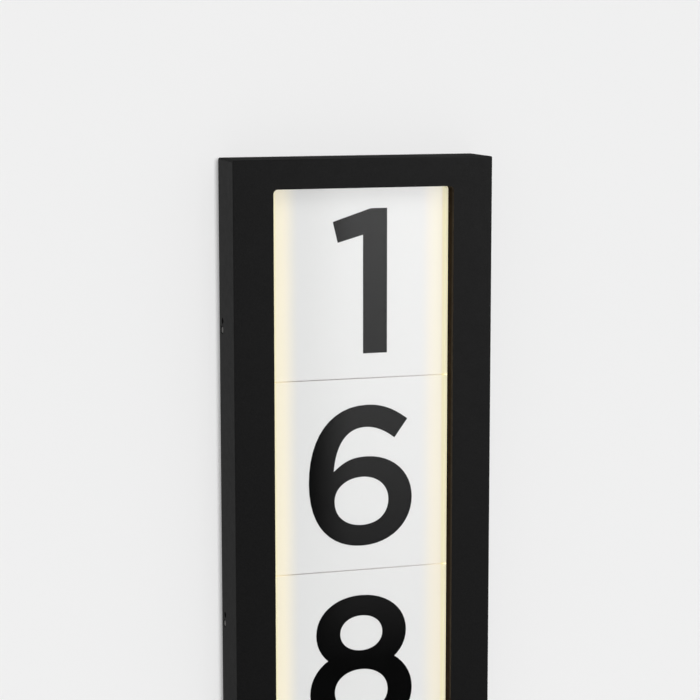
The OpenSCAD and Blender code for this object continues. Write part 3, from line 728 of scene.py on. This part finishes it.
# The world is one grey to the camera, a dim fill to the surfaces, and in their gloss it differs by
# direction: soft light from the front, from behind near the horizon, and from the sides and below.
world = bpy.data.worlds.new("studio")
scene.world = world
world.use_nodes = True
wt = world.node_tree
wt.nodes.clear()
w_out = wt.nodes.new("ShaderNodeOutputWorld")
w_mix = wt.nodes.new("ShaderNodeMixShader")
w_seen = wt.nodes.new("ShaderNodeBackground")
w_seen.inputs["Color"].default_value = (0.83, 0.83, 0.83, 1)
w_fill = wt.nodes.new("ShaderNodeBackground")
w_fill.inputs["Strength"].default_value = 0.25
w_mirror = wt.nodes.new("ShaderNodeBackground")
w_inner = wt.nodes.new("ShaderNodeMixShader")
w_path = wt.nodes.new("ShaderNodeLightPath")
w_coord = wt.nodes.new("ShaderNodeTexCoord")
w_split = wt.nodes.new("ShaderNodeSeparateXYZ")
wt.links.new(w_coord.outputs["Generated"], w_split.inputs[0])


def ramp(source, low, high, start, end):
    """Goes from start to end while the source goes from low to high."""
    node = wt.nodes.new("ShaderNodeMapRange")
    for key, value in zip(("From Min", "From Max", "To Min", "To Max"), (low, high, start, end)):
        node.inputs[key].default_value = value
    wt.links.new(source, node.inputs["Value"])
    return node.outputs["Result"]


def joined(operation, a, b):
    """Result of a sum or product of two outputs."""
    node = wt.nodes.new("ShaderNodeMath")
    node.operation = operation
    wt.links.new(a, node.inputs[0])
    wt.links.new(b, node.inputs[1])
    return node.outputs[0]


to_back, up = w_split.outputs["Y"], w_split.outputs["Z"]
front_part = joined("MULTIPLY", ramp(up, -0.27, 0.06, 0.0, 0.272), ramp(to_back, 0.2, 0.7, 1.0, 0.0))
horizon = joined("MULTIPLY", ramp(up, -0.4, 0.0, 0.33, 1.0), ramp(up, 0.0, 0.12, 1.0, 0.3))
back_part = joined("MULTIPLY", ramp(to_back, 0.0, 0.4, 0.0, 0.52), horizon)
sideways = wt.nodes.new("ShaderNodeMath")
sideways.operation = "ABSOLUTE"
wt.links.new(w_split.outputs["X"], sideways.inputs[0])
side_part = ramp(sideways.outputs[0], 0.5, 0.85, 0.0, 0.32)
below_part = ramp(up, -0.5, -0.85, 0.0, 0.3)
mirrored = joined("ADD", joined("ADD", front_part, back_part), joined("ADD", side_part, below_part))
wt.links.new(mirrored, w_mirror.inputs["Strength"])
wt.links.new(w_path.outputs["Is Glossy Ray"], w_inner.inputs[0])
wt.links.new(w_fill.outputs[0], w_inner.inputs[1])
wt.links.new(w_mirror.outputs[0], w_inner.inputs[2])
wt.links.new(w_path.outputs["Is Camera Ray"], w_mix.inputs[0])
wt.links.new(w_inner.outputs[0], w_mix.inputs[1])
wt.links.new(w_seen.outputs[0], w_mix.inputs[2])
wt.links.new(w_mix.outputs[0], w_out.inputs["Surface"])


def sun(name, azimuth, elevation, strength, spread):
    """Far light, not seen in gloss; azimuth 0 shines straight at the wall, positive from the right."""
    data = bpy.data.lights.new(name, "SUN")
    data.energy = strength
    data.angle = math.radians(spread)
    obj = bpy.data.objects.new(name, data)
    a, e = math.radians(azimuth), math.radians(elevation)
    towards = Vector((math.sin(a) * math.cos(e), -math.cos(a) * math.cos(e), math.sin(e)))
    obj.rotation_euler = towards.to_track_quat("Z", "Y").to_euler()
    obj.visible_glossy = False
    scene.collection.objects.link(obj)


CARD_RISE = (0.2, 0.5)  # metres from the card's left edge where it starts to brighten and is brightest
CARD_GAIN = 1.5


def card(name, x0, x1, z0, z1, y, radiance, fade_x, fade_z):
    """Soft panel in front of the sign, seen only in reflections; it fades in from x0 and z0."""
    m = bpy.data.materials.new(name)
    m.use_nodes = True
    t = m.node_tree
    t.nodes.clear()
    out = t.nodes.new("ShaderNodeOutputMaterial")
    light = t.nodes.new("ShaderNodeEmission")
    where = t.nodes.new("ShaderNodeTexCoord")
    split = t.nodes.new("ShaderNodeSeparateXYZ")
    t.links.new(where.outputs["Object"], split.inputs[0])
    level = []
    for axis, start, end in (("X", x0, x0 + fade_x), ("Z", z0, z0 + fade_z)):
        node = t.nodes.new("ShaderNodeMapRange")
        node.interpolation_type = "SMOOTHSTEP" if axis == "X" else "LINEAR"
        node.inputs["From Min"].default_value = start
        node.inputs["From Max"].default_value = end
        t.links.new(split.outputs[axis], node.inputs["Value"])
        level.append(node.outputs["Result"])
    product = t.nodes.new("ShaderNodeMath")
    product.operation = "MULTIPLY"
    t.links.new(level[0], product.inputs[0])
    t.links.new(level[1], product.inputs[1])
    further = t.nodes.new("ShaderNodeMapRange")
    further.inputs["From Min"].default_value = x0 + CARD_RISE[0]
    further.inputs["From Max"].default_value = x0 + CARD_RISE[1]
    further.inputs["To Min"].default_value = radiance
    further.inputs["To Max"].default_value = CARD_GAIN * radiance
    t.links.new(split.outputs["X"], further.inputs["Value"])
    scaled = t.nodes.new("ShaderNodeMath")
    scaled.operation = "MULTIPLY"
    t.links.new(further.outputs["Result"], scaled.inputs[1])
    t.links.new(product.outputs[0], scaled.inputs[0])
    t.links.new(scaled.outputs[0], light.inputs["Strength"])
    t.links.new(light.outputs[0], out.inputs["Surface"])
    obj = sheet(name, [(x0, y, z0), (x1, y, z0), (x1, y, z1), (x0, y, z1)], m)
    obj.visible_glossy = True
    obj.visible_camera = False


sun("key", 2.5, 1.5, 1.95, 5)
sun("from_above", 0, 35, 0.5, 40)
sun("from_behind", 205, 25, 2.4, 30)
card("right_card", 0.385, 2.8, -0.58, 1.3, -1.5, 1.34, 0.08, 0.683)

# The camera as fitted to the photo's straight edges
camera_data = bpy.data.cameras.new("camera")
camera_data.lens = 111.515
camera_data.sensor_width = 36
camera_data.clip_start = 0.05
camera_data.dof.use_dof = False
camera = bpy.data.objects.new("camera", camera_data)
camera.location = (-0.4484, -1.4334, 0.2969)
YAW, PITCH, ROLL = math.radians(17.43), math.radians(8.06), math.radians(-0.04)
ahead = Vector((math.sin(YAW) * math.cos(PITCH), math.cos(YAW) * math.cos(PITCH), -math.sin(PITCH)))
camera.rotation_mode = "QUATERNION"
camera.rotation_quaternion = ahead.to_track_quat("-Z", "Y") @ Euler((0, 0, ROLL)).to_quaternion()
scene.collection.objects.link(camera)
scene.camera = camera
scene.view_settings.view_transform = "Standard"

bpy.context.view_layer.update()
